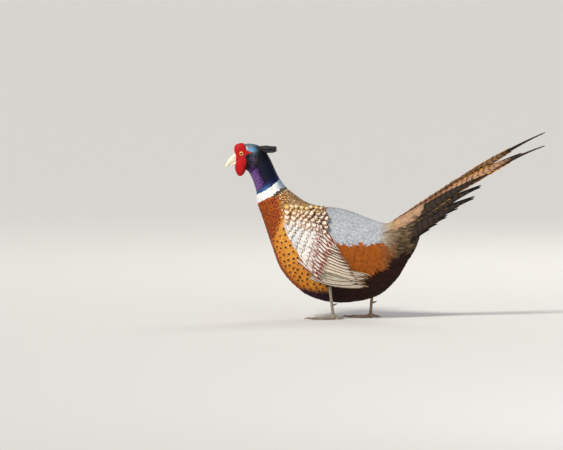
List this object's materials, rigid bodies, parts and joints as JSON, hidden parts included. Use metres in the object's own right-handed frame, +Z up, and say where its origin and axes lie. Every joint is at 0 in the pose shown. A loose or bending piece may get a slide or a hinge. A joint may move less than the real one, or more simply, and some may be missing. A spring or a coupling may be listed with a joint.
{
  "type": "common pheasant",
  "caption": "Still life-size model of a cock common pheasant in mid stride, head up and long tail raised, with ring neck, red face and spotted copper plumage",
  "frame": {"origin": "centre of the base of the box round the whole bird, on the floor under the belly", "axes": "+Z up; the bird faces -X, its left side is -Y, its raised tail points to +X"},
  "size_m": [0.655, 0.1354, 0.3835],
  "materials": {
    "glossy_plumage": "glossy blue-black and green head and neck feathers with purple sheen and a white neck ring",
    "body_plumage": "copper and golden body feathers with dark spots and edges, pale grey rump, black-brown belly",
    "wing_plumage": "whitish and buff wing feathers streaked with maroon",
    "tail_plumage": "long tan tail feathers barred with black, fringed edges",
    "bare_face": "soft velvety red bare skin with fine bumps",
    "eye": "wet glossy eye with orange iris and black pupil",
    "bill_horn": "smooth ivory horn",
    "leg_scales": "grey-beige scaly skin",
    "claw_horn": "dark horn"
  },
  "bodies": {
    "root": {"head": "glossy_plumage", "neck": "glossy_plumage", "torso": "body_plumage", "tail": "tail_plumage", "bill_upper": "bill_horn", "bill_lower": "bill_horn", "eye_left": "eye", "wattle_left": "bare_face", "tuft_left": "glossy_plumage", "wing_left": "wing_plumage", "thigh_left": "body_plumage", "shank_left": "leg_scales", "foot_left": "leg_scales", "spur_left": "claw_horn", "claw_inner_left": "claw_horn", "claw_middle_left": "claw_horn", "claw_outer_left": "claw_horn", "claw_hind_left": "claw_horn", "eye_right": "eye", "wattle_right": "bare_face", "tuft_right": "glossy_plumage", "wing_right": "wing_plumage", "thigh_right": "body_plumage", "shank_right": "leg_scales", "foot_right": "leg_scales", "spur_right": "claw_horn", "claw_inner_right": "claw_horn", "claw_middle_right": "claw_horn", "claw_outer_right": "claw_horn", "claw_hind_right": "claw_horn"}
  },
  "joints": []
}
